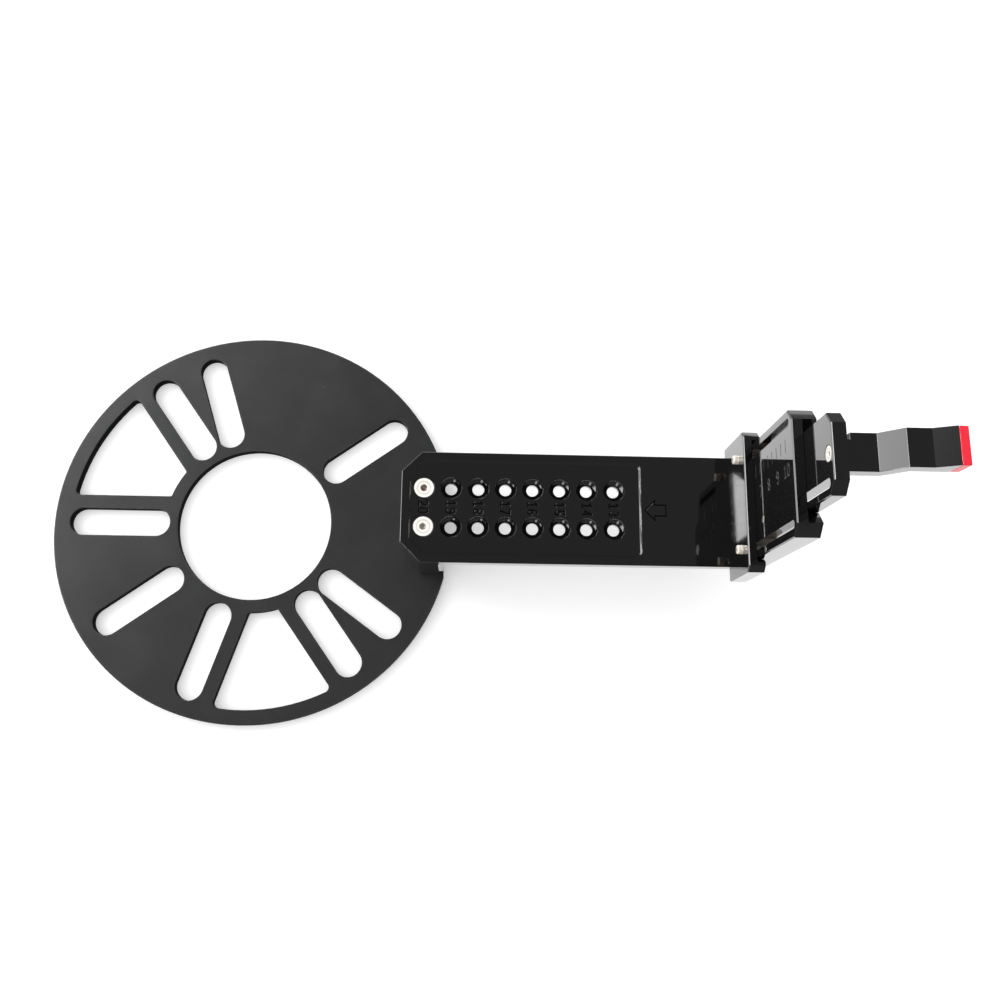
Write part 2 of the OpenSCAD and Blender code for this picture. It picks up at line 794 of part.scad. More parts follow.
// The plate across the arm's end, with the channel for the width slide
module end_plate() {
    half_channel = width_slide_w / 2 + slide_gap;
    color(black)
        difference() {
            bevelled_plate(end_plate_w / 2, arm_z0, end_plate_z1,
                [end_plate_corner, end_plate_corner], arm_x1, end_plate_x1);
            box([end_floor_x, -half_channel, arm_z0 - over],
                [end_plate_x1 + over, half_channel, end_plate_z1 + over]);
            channel_lead_in(end_floor_x, end_plate_x1 + over, half_channel, end_plate_z1,
                [end_rail * 0.25, end_plate_corner * 0.8]);
            for (side = [-1, 1]) {
                translate([end_floor_x, side * width_slot_y, clamp_z])
                    rotate([0, 90, 0])
                        insert_pocket(small_screw_d, small_insert_d, end_insert_l,
                            end_plate_t + over);
                translate([end_floor_x, side * end_screw_pitch / 2, arm_z0 + arm_t / 2])
                    rotate([0, 90, 0])
                        countersink(small_head_d, end_plate_t,
                            small_screw_d + screw_play * 2, small_head_gap);
            }
        }
}

// Screw from the channel floor into the arm's end
module end_plate_screw(side) {
    color(nickel)
        translate([end_floor_x - small_head_gap, side * end_screw_pitch / 2, arm_z0 + arm_t / 2])
            rotate([0, 90, 0])
                countersunk_screw(small_screw_d, small_head_d, end_screw_l);
}

// Threaded insert that takes a width clamp screw
module width_insert(side) {
    color(gold)
        translate([end_floor_x, side * width_slot_y, clamp_z])
            rotate([0, 90, 0])
                insert(small_screw_d, small_insert_d, end_insert_l);
}

// Scale on the width slide's face towards the hub, read with +Y up
module width_scale() {
    y1 = width_slot_y - width_slot_w / 2 - scale_edge;
    number_y = y1 - scale_line_l - scale_number_gap - scale_digit_h / 2;
    for (i = [0:scale_lines - 1]) {
        z = width_z1 - scale_top - i * scale_pitch;
        box([width_x0 - over, y1 - scale_line_l, z - scale_line_w / 2],
            [width_x0 + engrave_depth, y1, z + scale_line_w / 2]);
        if (i % 2 == 0)
            translate([width_x0 - over, number_y, z])
                rotate([90, 0, 90])
                    linear_extrude(height = engrave_depth + over)
                        mirror([1, -1, 0])
                            number(scale_first_number - i / 2, scale_digit_h);
    }
}

// The slide that is set by wheel width
module width_slide() {
    half_channel = rim_slide_w / 2 + slide_gap;
    color(black)
        difference() {
            bevelled_plate(width_slide_w / 2, width_z0, width_z1, width_slide_corner,
                width_x0, width_x1);
            box([rim_floor_x, -half_channel, width_z0 - over],
                [width_x1 + over, half_channel, width_z1 + over]);
            channel_lead_in(rim_floor_x, width_x1 + over, half_channel, width_z1,
                [width_rail_w - width_slide_corner[0], width_slide_corner[1]]);
            for (side = [-1, 1])
                slide_slot(width_slot_w, width_x0 - over, width_x1 + over,
                    side * width_slot_y, width_slot_z0, width_slot_z1);
            translate([rim_floor_x, -rim_slot_offset, rim_clamp_z])
                rotate([0, 90, 0])
                    insert_pocket(small_screw_d, small_insert_d, rim_insert_l, width_slide_t);
            width_scale();
        }
}

// Screw that clamps the width slide in its channel
module width_clamp_screw(side) {
    color(nickel)
        translate([cap_seat_x, side * width_slot_y, clamp_z])
            rotate([0, 90, 0])
                cap_screw(cap_seat_x - clamp_end_x);
}

// Washer under a width clamp screw
module width_clamp_washer(side) {
    color(nickel)
        translate([washer_x, side * width_slot_y, clamp_z])
            rotate([0, 90, 0])
                washer(width_washer_d);
}

// The slide that carries the rim arm
module rim_slide() {
    color(black)
        difference() {
            bevelled_plate(rim_slide_w / 2, rim_z0, rim_z1, rim_slide_corner, rim_x0, rim_x1);
            slide_slot(rim_slot_w, rim_x0 - over, rim_x1 + over, -rim_slot_offset,
                rim_slot_z0, rim_slot_z1);
            translate([rim_x0, 0, rim_arm_mid_z])
                rotate([0, -90, 0])
                    countersink(small_head_d, rim_slide_t,
                        small_screw_d + screw_play * 2, small_head_gap);
        }
}

// Threaded insert that takes the rim clamp screw
module rim_clamp_insert() {
    color(gold)
        translate([rim_floor_x, -rim_slot_offset, rim_clamp_z])
            rotate([0, 90, 0])
                insert(small_screw_d, small_insert_d, rim_insert_l);
}

// Screw that clamps the rim slide in its channel
module rim_clamp_screw() {
    color(nickel)
        translate([cap_seat_x, -rim_slot_offset, rim_clamp_z])
            rotate([0, 90, 0])
                cap_screw(cap_seat_x - rim_clamp_end_x);
}

// Washer under the rim clamp screw
module rim_clamp_washer() {
    color(nickel)
        translate([washer_x, -rim_slot_offset, rim_clamp_z])
            rotate([0, 90, 0])
                washer(rim_washer_d);
}

// The stepped finger that reaches over the rim's edge
module rim_arm() {
    y = rim_arm_w / 2;
    shelf_z0 = shelf_z1 - rim_arm_t;
    color(black)
        difference() {
            translate([0, y, 0])
                rotate([90, 0, 0])
                    linear_extrude(height = rim_arm_w)
                        polygon([[rim_x1, rim_arm_z0], [step_x0 + step_shift, rim_arm_z0],
                            [step_x1 + step_shift, shelf_z0], [nose_x1, shelf_z0],
                            [nose_x1, nose_z1], [shelf_x1, shelf_z1], [step_x1, shelf_z1],
                            [step_x0, rim_arm_z1], [rim_x1, rim_arm_z1]]);
            box([rim_x1 - over, y - root_notch[0], rim_arm_z0 - over],
                [rim_x1 + root_notch[1], y + over, rim_arm_z1 + over]);
            along_arm(small_screw_d / 2 + thread_gap, rim_x1 - over,
                rim_x0 + rim_screw_l + hole_extra, 0, rim_arm_mid_z);
        }
}

// Screw from the rim slide into the rim arm's root
module rim_arm_screw() {
    color(nickel)
        translate([rim_x0 + small_head_gap, 0, rim_arm_mid_z])
            rotate([0, -90, 0])
                countersunk_screw(small_screw_d, small_head_d, rim_screw_l);
}

// The red cap on the end of the rim arm
module rim_tip() {
    y = rim_arm_w / 2;
    color(red)
        box([nose_x1, -y, shelf_z1 - rim_arm_t], [nose_x1 + tip_t, y, nose_z1]);
}

hub_plate();
riser_block();
riser_insert(1);  // riser_insert_left
riser_insert(-1);  // riser_insert_right
riser_screw(1);  // riser_screw_left
riser_screw(-1);  // riser_screw_right
arm_insert(1);  // arm_insert_left
arm_insert(-1);  // arm_insert_right
diameter_arm();
arm_screw(1);  // arm_screw_left
arm_screw(-1);  // arm_screw_right
end_plate();
end_plate_screw(1);  // end_plate_screw_left
end_plate_screw(-1);  // end_plate_screw_right
width_insert(1);  // width_insert_left
width_insert(-1);  // width_insert_right
width_slide();
width_clamp_screw(1);  // width_clamp_screw_left
width_clamp_screw(-1);  // width_clamp_screw_right
width_clamp_washer(1);  // width_clamp_washer_left
width_clamp_washer(-1);  // width_clamp_washer_right
rim_slide();
rim_clamp_insert();
rim_clamp_screw();
rim_clamp_washer();
rim_arm();
rim_arm_screw();
rim_tip();
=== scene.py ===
import json
import math
import bpy
from mathutils import Matrix, Vector


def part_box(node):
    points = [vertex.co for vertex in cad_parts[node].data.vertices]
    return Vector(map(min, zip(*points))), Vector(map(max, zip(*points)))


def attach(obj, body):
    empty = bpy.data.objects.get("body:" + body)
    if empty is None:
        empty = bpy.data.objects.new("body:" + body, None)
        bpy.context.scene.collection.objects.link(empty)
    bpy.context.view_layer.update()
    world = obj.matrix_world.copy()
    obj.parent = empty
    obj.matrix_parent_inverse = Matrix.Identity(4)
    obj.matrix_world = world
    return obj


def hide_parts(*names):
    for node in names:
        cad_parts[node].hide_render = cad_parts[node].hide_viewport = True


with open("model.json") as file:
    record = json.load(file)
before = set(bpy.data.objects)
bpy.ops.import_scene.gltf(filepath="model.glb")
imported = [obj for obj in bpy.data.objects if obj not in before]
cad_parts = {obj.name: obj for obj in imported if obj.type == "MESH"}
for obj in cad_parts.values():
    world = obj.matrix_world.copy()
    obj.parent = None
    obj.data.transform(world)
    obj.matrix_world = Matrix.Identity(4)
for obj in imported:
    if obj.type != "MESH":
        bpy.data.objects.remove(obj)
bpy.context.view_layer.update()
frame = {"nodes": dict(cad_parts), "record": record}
nodes = frame["nodes"]
MM = 0.001

# M5 and M3 screws: thread, pitch and hex socket across its flats
LARGE_SCREW = (5 * MM, 0.8 * MM, 3 * MM)
SMALL_SCREW = (3 * MM, 0.5 * MM, 2 * MM)
CLAMP_SCREW = (3 * MM, 0.5 * MM, 2.5 * MM)
CAP_HEIGHT = 3 * MM
# A countersunk head's straight edge, above its cone
HEAD_EDGE = 0.3 * MM
HEAD_SIDES = 64
# Every second point of a knurled head stands this much nearer to its axis
KNURL = 0.955
# In parts of the thread's pitch: how deep it is cut, half its ridge's foot, how far the foot
# sinks into the core, and what the ridge keeps clear of the full radius and of the bare end
THREAD_DEPTH = 0.55
RIDGE_FOOT = 0.46
RIDGE_SUNK = 0.06
RIDGE_CLEAR = 0.02
THREAD_STEPS = 20
# A screw's bare end is bevelled over this part of its thread's diameter
END_BEVEL = 0.1
# In parts of a socket's corner radius: the drill's cone at its floor and how narrow it ends, then
# the lead-in's cutter, which starts above the head: its height there, width, rim and taper
DRILL_CONE = 0.45
CONE_END = 0.02
LEAD_ABOVE = 0.3
LEAD_WIDTH = 1.06
LEAD_RIM = 0.12
LEAD_TAPER = 0.3
LEAD_END = 0.7
LEAD_SIDES = 48

# Where parts are matt, in millimetres: lowest, highest, nearest and farthest along the arm, and
# half the width across it
HUB_WALLS = (0.2, 5.1, -101, 101, 101)
ARM_NUMBERS = (52.0, 52.8, 81, 189, 4.1)
ARM_ARROW = (53.0, 53.8, 190, 203, 8)
SLIDE_SCALE = (60, 128, 235.36, 235.85, 17)


def clear_selection():
    bpy.ops.object.select_all(action="DESELECT")


def work_on(piece):
    clear_selection()
    piece.select_set(True)
    bpy.context.view_layer.objects.active = piece


def keep_modifier(piece, kind, **settings):
    """Adds a modifier and applies it."""
    work_on(piece)
    modifier = piece.modifiers.new(kind.title(), kind)
    for name, value in settings.items():
        setattr(modifier, name, value)
    bpy.ops.object.modifier_apply(modifier=modifier.name)


def pull_face(piece, height, move, widen):
    """Extrudes the level face at a height along Z, and scales the new face."""
    work_on(piece)
    for edge in piece.data.edges:
        edge.select = False
    for point in piece.data.vertices:
        point.select = False
    for face in piece.data.polygons:
        face.select = abs(face.center.z - height) < 1e-6 and abs(face.normal.z) > 0.9
    bpy.ops.object.mode_set(mode="EDIT")
    bpy.ops.mesh.select_mode(type="FACE")
    bpy.ops.mesh.extrude_region_move(TRANSFORM_OT_translate={"value": (0, 0, move)})
    bpy.ops.transform.resize(value=(widen, widen, 1))
    bpy.ops.object.mode_set(mode="OBJECT")


def turned_bar(name, radius, top, low, sides):
    """A round bar along Z, the start of every screw."""
    clear_selection()
    bpy.ops.mesh.primitive_cylinder_add(
        vertices=sides, radius=radius, depth=top - low, location=(0, 0, (top + low) / 2)
    )
    bar = bpy.context.object
    bar.name = name
    bpy.ops.object.transform_apply(location=True, rotation=True, scale=True)
    return bar


BODIES = frame["record"]["behaviour"]["bodies"]
BODY_OF = {name: body for body, names in BODIES.items() for name in names}


def cut_socket(screw, across, depth, top):
    """A hex socket with a conical lead-in and the drill's cone at its floor."""
    corner = across / math.sqrt(3)
    key = turned_bar("key", corner, top + corner, top - depth, 6)
    pull_face(key, top - depth, -corner * DRILL_CONE, CONE_END)
    keep_modifier(screw, "BOOLEAN", object=key, operation="DIFFERENCE", solver="EXACT")
    bpy.data.objects.remove(key)
    rim = top - corner * LEAD_RIM
    lead = turned_bar("lead", corner * LEAD_WIDTH, top + corner * LEAD_ABOVE, rim, LEAD_SIDES)
    pull_face(lead, rim, -corner * LEAD_TAPER, LEAD_END)
    keep_modifier(screw, "BOOLEAN", object=lead, operation="DIFFERENCE", solver="EXACT")
    bpy.data.objects.remove(lead)


def add_thread(screw, radius, pitch, start, end):
    """A helical ridge round the shank that runs out into its bevelled end."""
    clear_selection()
    bpy.ops.mesh.primitive_circle_add(vertices=3, radius=pitch * 0.5, location=(0, 0, 0))
    ridge = bpy.context.object
    inner = radius - pitch * THREAD_DEPTH - pitch * RIDGE_SUNK
    corners = [
        (inner, 0, end - pitch * RIDGE_FOOT),
        (inner, 0, end + pitch * RIDGE_FOOT),
        (radius - pitch * RIDGE_CLEAR, 0, end),
    ]
    for point, corner in zip(ridge.data.vertices, corners):
        point.co = corner
    turns = (start - end) / pitch
    steps = int(turns * THREAD_STEPS)
    keep_modifier(
        ridge, "SCREW", angle=turns * math.tau, screw_offset=start - end, steps=steps,
        render_steps=steps, use_merge_vertices=True, merge_threshold=1e-7,
    )
    bevel = radius * END_BEVEL * 2
    for point in ridge.data.vertices:
        flat = math.hypot(point.co.x, point.co.y)
        room = radius - max(0.0, bevel - (point.co.z - end)) - pitch * RIDGE_CLEAR
        low = max(point.co.z, end + pitch * RIDGE_CLEAR)
        shrink = min(flat, max(room, inner * 0.9)) / flat
        point.co = (point.co.x * shrink, point.co.y * shrink, low)
    work_on(ridge)
    bpy.ops.object.mode_set(mode="EDIT")
    bpy.ops.mesh.select_all(action="SELECT")
    bpy.ops.mesh.fill_holes(sides=4)
    bpy.ops.mesh.select_all(action="SELECT")
    bpy.ops.mesh.normals_make_consistent(inside=False)
    bpy.ops.object.mode_set(mode="OBJECT")
    ridge.select_set(True)
    screw.select_set(True)
    bpy.context.view_layer.objects.active = screw
    bpy.ops.object.join()


def countersunk_screw(name, thread, pitch, head, length, socket):
    """A countersunk socket screw that hangs from its head at z = 0."""
    cone = (head - thread) / 2
    core = thread / 2 - pitch * THREAD_DEPTH
    tip = thread * END_BEVEL
    screw = turned_bar(name, head / 2, 0, -HEAD_EDGE, HEAD_SIDES)
    pull_face(screw, -HEAD_EDGE, -cone, thread / head)
    pull_face(screw, -HEAD_EDGE - cone, -pitch, core / (thread / 2))
    pull_face(screw, -HEAD_EDGE - cone - pitch, -(length - HEAD_EDGE - cone - pitch - tip), 1)
    pull_face(screw, -length + tip, -tip, (core - tip * 0.6) / core)
    cut_socket(screw, socket, cone * 0.95, 0)
    add_thread(screw, thread / 2, pitch, -HEAD_EDGE - cone - pitch * 0.4, -length + pitch * 0.5)
    return screw


def cap_screw(name, thread, pitch, head, length, socket):
    """A knurled socket cap screw with the top of its head at z = 0."""
    core = thread / 2 - pitch * THREAD_DEPTH
    tip = thread * END_BEVEL
    bevel = CAP_HEIGHT * 0.1
    screw = turned_bar(name, head / 2, -bevel, -CAP_HEIGHT + bevel, HEAD_SIDES)
    for point in screw.data.vertices:
        turn = round(math.atan2(point.co.y, point.co.x) / math.tau * HEAD_SIDES)
        if turn % 2:
            point.co.x *= KNURL
            point.co.y *= KNURL
    pull_face(screw, -bevel, bevel, 1 - bevel / head * 2)
    pull_face(screw, -CAP_HEIGHT + bevel, -bevel, 1 - bevel / head * 2)
    # Known fault: this leaves a flat ring under the head, which every later pull takes along, so
    # the shank comes out 2 mm in radius and hides its thread
    pull_face(screw, -CAP_HEIGHT, 0, thread / head * 1.02)
    pull_face(screw, -CAP_HEIGHT, -pitch, core / (thread / 2))
    pull_face(screw, -CAP_HEIGHT - pitch, -(length - CAP_HEIGHT - pitch - tip), 1)
    pull_face(screw, -length + tip, -tip, (core - tip * 0.6) / core)
    cut_socket(screw, socket, CAP_HEIGHT * 0.55, 0)
    add_thread(screw, thread / 2, pitch, -CAP_HEIGHT - pitch * 0.4, -length + pitch * 0.5)
    return screw


def put_screw(screw, node, out):
    """Turns a screw so that its head faces out, seats it where its node is, and lets it ride there."""
    low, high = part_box(node)
    out = Vector(out)
    middle = (low + high) / 2
    reach = (high - low) / 2
    head = middle + Vector([way * half for way, half in zip(out, reach)])
    turn = Vector((0, 0, 1)).rotation_difference(out).to_matrix().to_4x4()
    screw.name = node + "_threaded"
    screw.data.transform(Matrix.Translation(head) @ turn)
    work_on(screw)
    bpy.ops.object.shade_smooth_by_angle(angle=math.radians(28))
    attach(screw, BODY_OF[node])
    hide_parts(node)
    return screw, head, out


def again(piece):
    """A copy of a finished piece, with its own mesh."""
    twin = piece.copy()
    twin.data = piece.data.copy()
    bpy.context.scene.collection.objects.link(twin)
    return twin


def node_size(node):
    low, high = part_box(node)
    return high - low


def make_screws():
    """Every screw of the gauge, with its head's place and direction for its finish."""
    made = []
    for names, out, make, (thread, pitch, socket) in (
        (("arm_screw_left", "arm_screw_right"), (0, 0, 1), countersunk_screw, LARGE_SCREW),
        (("riser_screw_left", "riser_screw_right"), (0, 0, -1), countersunk_screw, LARGE_SCREW),
        (
            ("end_plate_screw_left", "end_plate_screw_right"), (1, 0, 0),
            countersunk_screw, SMALL_SCREW,
        ),
        (("rim_arm_screw",), (-1, 0, 0), countersunk_screw, SMALL_SCREW),
        (("width_clamp_screw_left", "width_clamp_screw_right"), (1, 0, 0), cap_screw, CLAMP_SCREW),
        (("rim_clamp_screw",), (1, 0, 0), cap_screw, CLAMP_SCREW),
    ):
        size = node_size(names[0])
        head, length = (size.x, size.z) if out[2] else (size.y, size.x)
        first = make("screw", thread, pitch, head, length, socket)
        copies = [first] + [again(first) for _ in names[1:]]
        made += [put_screw(screw, name, out) for screw, name in zip(copies, names)]
    return made


def hexcolour(code):
    """An sRGB hex colour as linear red, green, blue and alpha."""
    parts = [int(code[i:i + 2], 16) / 255 for i in (1, 3, 5)]
    return [c / 12.92 if c <= 0.04045 else ((c + 0.055) / 1.055) ** 2.4 for c in parts] + [1.0]


def add(tree, kind, inputs=(), **settings):
    """Adds a shader node with its settings. Its inputs are filled or linked, in order from a list
    or by name from a dict, and its first output in use comes back."""
    node = tree.nodes.new("ShaderNode" + kind)
    for name, value in settings.items():
        setattr(node, name, value)
    sockets = [socket for socket in node.inputs if socket.enabled]
    if isinstance(inputs, dict):
        names = [socket.name for socket in sockets]
        pairs = [(sockets[names.index(name)], value) for name, value in inputs.items()]
    else:
        pairs = zip(sockets, inputs)
    for socket, value in pairs:
        if isinstance(value, bpy.types.NodeSocket):
            tree.links.new(value, socket)
        else:
            socket.default_value = value
    return next((socket for socket in node.outputs if socket.enabled), None)


def new_material(name):
    """A material with its shader, and the place on the piece that its patterns follow."""
    material = bpy.data.materials.new(name)
    material.use_nodes = True
    tree = material.node_tree
    place = add(tree, "TexCoord").node.outputs["Object"]
    return material, tree, tree.nodes["Principled BSDF"], place


def per_mm(size):
    """The scale of a pattern whose features are this many millimetres apart."""
    return 1 / (size * MM)


def moulded_black(name, base, gloss, coat, matt, matt_tone="#030303"):
    """Black ABS, injection moulded: a deep black under a smooth skin, with faint flow waves in the
    reflections, a thin handling haze and hairline scratches. Engraved lines keep the tool's matt
    spark finish and milled edges their cutter's marks, so they don't mirror the room. gloss
    holds the roughness of clean and of hazy skin, matt where the matt parts are, and matt_tone
    their colour. On the arm's engravings that colour is a near-black painted shade, and on the
    width slide's scale a grey painted glint."""
    material, tree, shader, place = new_material(name)
    # Handling haze, blotches about 22 mm across, that dulls the gloss here and there
    blotches = add(tree, "TexNoise", {"Vector": place, "Scale": per_mm(22), "Detail": 4.0, "Roughness": 0.6})
    roughness = add(tree, "MapRange", [blotches, 0.4, 0.75, *gloss])
    # Hairline scratches, 0.35 mm wide and 25 mm long, drawn wider than real ones so that they show
    aslant = add(tree, "Mapping", {
        "Vector": place, "Rotation": (0.3, 0.2, math.radians(24)),
        "Scale": (per_mm(25), per_mm(0.35), per_mm(25)),
    })
    scratches = add(tree, "TexNoise", {"Vector": aslant, "Scale": 1.0, "Detail": 1.0})
    hairs = add(tree, "MapRange", [scratches, 0.68, 0.8, 0.0, 1.0])
    # Flow waves of the moulded skin, about 14 mm long and a few microns high
    waves = add(tree, "TexNoise", {"Vector": place, "Scale": per_mm(14), "Detail": 2.0})
    flow = add(tree, "Bump", {"Height": waves, "Strength": 0.25, "Distance": 0.012 * MM})
    skin = add(tree, "Bump", {"Height": hairs, "Normal": flow, "Strength": 0.3, "Distance": 0.004 * MM})
    # Pigment clouds, 9 mm across: the black is never quite even
    clouds = add(tree, "TexNoise", {"Vector": place, "Scale": per_mm(9), "Detail": 3.0})
    tone = add(tree, "Mix", [clouds, hexcolour(base[0]), hexcolour(base[1])], data_type="RGBA")
    shader.inputs["Coat Weight"].default_value = coat
    if matt:
        along = add(tree, "SeparateXYZ", [place])
        across, level = along.node.outputs["Y"], along.node.outputs["Z"]
        dull = 0.0
        for lowest, highest, nearest, farthest, half_width in matt:
            here = 1.0
            for axis, start, end in (
                (level, lowest, highest), (along, nearest, farthest), (across, -half_width, half_width)
            ):
                middle, reach = (start + end) / 2 * MM, (end - start) / 2 * MM
                inside = add(tree, "Math", [axis, middle, reach], operation="COMPARE")
                here = add(tree, "Math", [here, inside], operation="MULTIPLY")
            dull = add(tree, "Math", [dull, here], operation="MAXIMUM")
        # The matt parts take matt_tone: a painted shade on the arm's engravings, a painted glint on the
        # slide's scale
        tone = add(tree, "Mix", [dull, tone, hexcolour(matt_tone)], data_type="RGBA")
        roughness = add(tree, "Math", [dull, 0.5, roughness], operation="MULTIPLY_ADD")
        # The matt parts have no coat and little shine
        if coat:
            coated = add(tree, "MapRange", [dull, 0.0, 1.0, coat, 0.0])
            tree.links.new(coated, shader.inputs["Coat Weight"])
        shine = add(tree, "MapRange", [dull, 0.0, 1.0, 0.5, 0.06])
        tree.links.new(shine, shader.inputs["Specular IOR Level"])
    tree.links.new(skin, shader.inputs["Normal"])
    tree.links.new(roughness, shader.inputs["Roughness"])
    tree.links.new(tone, shader.inputs["Base Color"])
    shader.inputs["IOR"].default_value = 1.45
    shader.inputs["Coat Roughness"].default_value = 0.02
    shader.inputs["Coat IOR"].default_value = 1.45
    return material


def turned_nickel(name, head, out, radius, socket_tint):
    """Dull nickel-plated steel, turned on a lathe: pale and warm, with fine rings round the
    screw's axis, a duller band round the socket and grime or rust at the bottom of it."""
    material, tree, shader, place = new_material(name)
    turn = out.rotation_difference(Vector((0, 0, 1))).to_euler()
    moved = add(tree, "Mapping", {"Vector": place, "Location": [-c for c in head]})
    local = add(tree, "Mapping", {"Vector": moved, "Rotation": turn})
    aside = add(tree, "SeparateXYZ", [local])
    depth = aside.node.outputs["Z"]
    flat = add(tree, "CombineXYZ", {"X": aside, "Y": aside.node.outputs["Y"]})
    away = add(tree, "VectorMath", [flat], operation="LENGTH")
    # Lathe rings 0.4 mm apart, a few times coarser than the tool's real feed so that they show
    turns = add(tree, "Math", [away, math.tau / (0.4 * MM)], operation="MULTIPLY")
    swell = add(tree, "Math", [turns], operation="SINE")
    grain = add(tree, "TexNoise", {"Vector": place, "Scale": per_mm(0.6), "Detail": 3.0})
    cut = add(tree, "Bump", {"Height": swell, "Strength": 0.3, "Distance": 0.02 * MM})
    pitted = add(tree, "Bump", {"Height": grain, "Normal": cut, "Strength": 0.25, "Distance": 0.03 * MM})
    tree.links.new(pitted, shader.inputs["Normal"])
    tree.links.new(add(tree, "MapRange", [grain, 0.3, 0.7, 0.3, 0.46]), shader.inputs["Roughness"])
    # The rings also differ in brightness: a bright rim, a duller band, a pale middle
    band_in = add(tree, "MapRange", [away, radius * 0.5, radius * 0.62, 0.0, 1.0])
    band_out = add(tree, "MapRange", [away, radius * 0.7, radius * 0.8, 1.0, 0.0])
    band = add(tree, "Math", [band_in, band_out], operation="MULTIPLY")
    plate = add(tree, "Mix", [band, hexcolour("#fdfbf6"), hexcolour("#ddd5c8")], data_type="RGBA")
    dark_turn = add(tree, "Math", [swell, 0.08, 0.08], operation="MULTIPLY_ADD")
    plate = add(tree, "Mix", [dark_turn, plate, hexcolour("#b8ad9d")], data_type="RGBA")
    low = add(tree, "MapRange", [depth, -0.9 * MM, -0.2 * MM, 1.0, 0.0])
    inside = add(tree, "MapRange", [away, radius * 0.4, radius * 0.47, 1.0, 0.0])
    in_socket = add(tree, "Math", [low, inside], operation="MULTIPLY")
    blots = add(tree, "MapRange", [grain, 0.35, 0.6, 0.6, 1.0])
    stain = add(tree, "Math", [in_socket, blots], operation="MULTIPLY")
    tone = add(tree, "Mix", [stain, plate, hexcolour(socket_tint)], data_type="RGBA")
    tree.links.new(tone, shader.inputs["Base Color"])
    # The dull plating scatters part of its light like a pale paint
    shader.inputs["Metallic"].default_value = 0.4
    return material


def grained(name, size, colours, roughness, metallic, bump):
    """A material with one random grain: its size in millimetres, its colours at the grain's low
    and high spots, its roughness there, how metallic it is, and how strongly the grain stands out."""
    material, tree, shader, place = new_material(name)
    grain = add(tree, "TexNoise", {"Vector": place, "Scale": per_mm(size), "Detail": 3.0})
    tone = add(tree, "Mix", [grain, hexcolour(colours[0]), hexcolour(colours[1])], data_type="RGBA")
    tree.links.new(tone, shader.inputs["Base Color"])
    tree.links.new(add(tree, "MapRange", [grain, 0.3, 0.7, *roughness]), shader.inputs["Roughness"])
    relief = add(tree, "Bump", {"Height": grain, "Strength": bump, "Distance": 0.02 * MM})
    tree.links.new(relief, shader.inputs["Normal"])
    shader.inputs["Metallic"].default_value = metallic
    return material


def finish(piece, material):
    piece.data.materials.clear()
    piece.data.materials.append(material)


def soften_edges(node, width, segments=2, angle=30):
    """Rounds a plate's sharp edges a little, as a moulding tool leaves them."""
    piece = nodes[node]
    weld = piece.modifiers.new("Weld", "WELD")
    weld.merge_threshold = 1e-6
    flat = piece.modifiers.new("Flat faces", "DECIMATE")
    flat.decimate_type = "DISSOLVE"
    flat.angle_limit = math.radians(0.3)
    bevel = piece.modifiers.new("Edge round", "BEVEL")
    bevel.width = width * MM
    bevel.segments = segments
    bevel.limit_method = "ANGLE"
    bevel.angle_limit = math.radians(angle)


# The gauge's own finishes. The hub plate is satin, and its holes and rim are milled matt
satin_black = moulded_black(
    "black ABS, satin moulded, milled edges", ("#272728", "#2c2c2d"), (0.22, 0.28), 0.0,
    [HUB_WALLS],
)
gloss_black = moulded_black("black ABS, gloss moulded", ("#060607", "#09090a"), (0.02, 0.06), 1.0, [])
# The numbers are sunk into the arm's recess, and the arrow lies past it. Both are painted
# near-black and dull, a painted shade for the shade that fills deep narrow grooves
marked_black = moulded_black(
    "black ABS, gloss moulded, engraved", ("#060607", "#09090a"), (0.02, 0.06), 1.0,
    [ARM_NUMBERS, ARM_ARROW],
)
# The width slide's lines and numbers are painted grey, a painted glint for the light that their
# engraved edges catch, so they are paler than a dark reflection and darker than a bright one
scaled_black = moulded_black(
    "black ABS, gloss moulded, scale engraved", ("#060607", "#09090a"), (0.02, 0.06), 1.0,
    [SLIDE_SCALE], "#555556",
)
# Warm yellow metal with a soft turned grain
brass = grained("brass, machined", 0.8, ("#b98f3f", "#d9b765"), (0.28, 0.36), 1.0, 0.3)
# Satin washers with a fine random grain
stamped = grained("nickel plated steel, stamped", 0.7, ("#d6cfc2", "#ece7db"), (0.25, 0.42), 1.0, 0.3)
# Saturated signal red, glossy, with a slight moulded bloom
red = grained("red PVC, dip moulded", 3, ("#e61f30", "#f53046"), (0.14, 0.26), 0.0, 0.2)
red.node_tree.nodes["Principled BSDF"].inputs["IOR"].default_value = 1.53

for name, node in nodes.items():
    if name == "hub_plate":
        finish(node, satin_black)
    elif "insert" in name:
        finish(node, brass)
    elif "washer" in name:
        finish(node, stamped)
    elif name == "rim_tip":
        finish(node, red)
    elif name == "diameter_arm":
        finish(node, marked_black)
    elif name == "width_slide":
        finish(node, scaled_black)
    elif "screw" not in name:
        finish(node, gloss_black)

for name in ("hub_plate", "riser_block", "diameter_arm", "end_plate", "width_slide", "rim_slide"):
    soften_edges(name, 0.15)
soften_edges("rim_arm", 0.5, segments=4, angle=15)
soften_edges("rim_tip", 0.5, segments=4)

for screw, head, out in make_screws():
    node = screw.name.replace("_threaded", "")
    radius = node_size(node).y / 2
    tint = "#6b3d30" if node in ("arm_screw_left", "rim_arm_screw") else "#8f8878"
    finish(screw, turned_nickel("turned nickel on " + node, head, out, radius, tint))

# The photo's viewpoint, fitted to the plate's round outline and the arm's holes
camera_data = bpy.data.cameras.new("camera")
camera_data.sensor_width = 36
camera_data.lens = 34.752
camera = bpy.data.objects.new("camera", camera_data)
camera.location = (0.10668, -0.09852, 0.49181)
camera.rotation_euler = [math.radians(turn) for turn in (13.0702, -2.3121, 0.5736)]
bpy.context.scene.collection.objects.link(camera)
bpy.context.scene.camera = camera

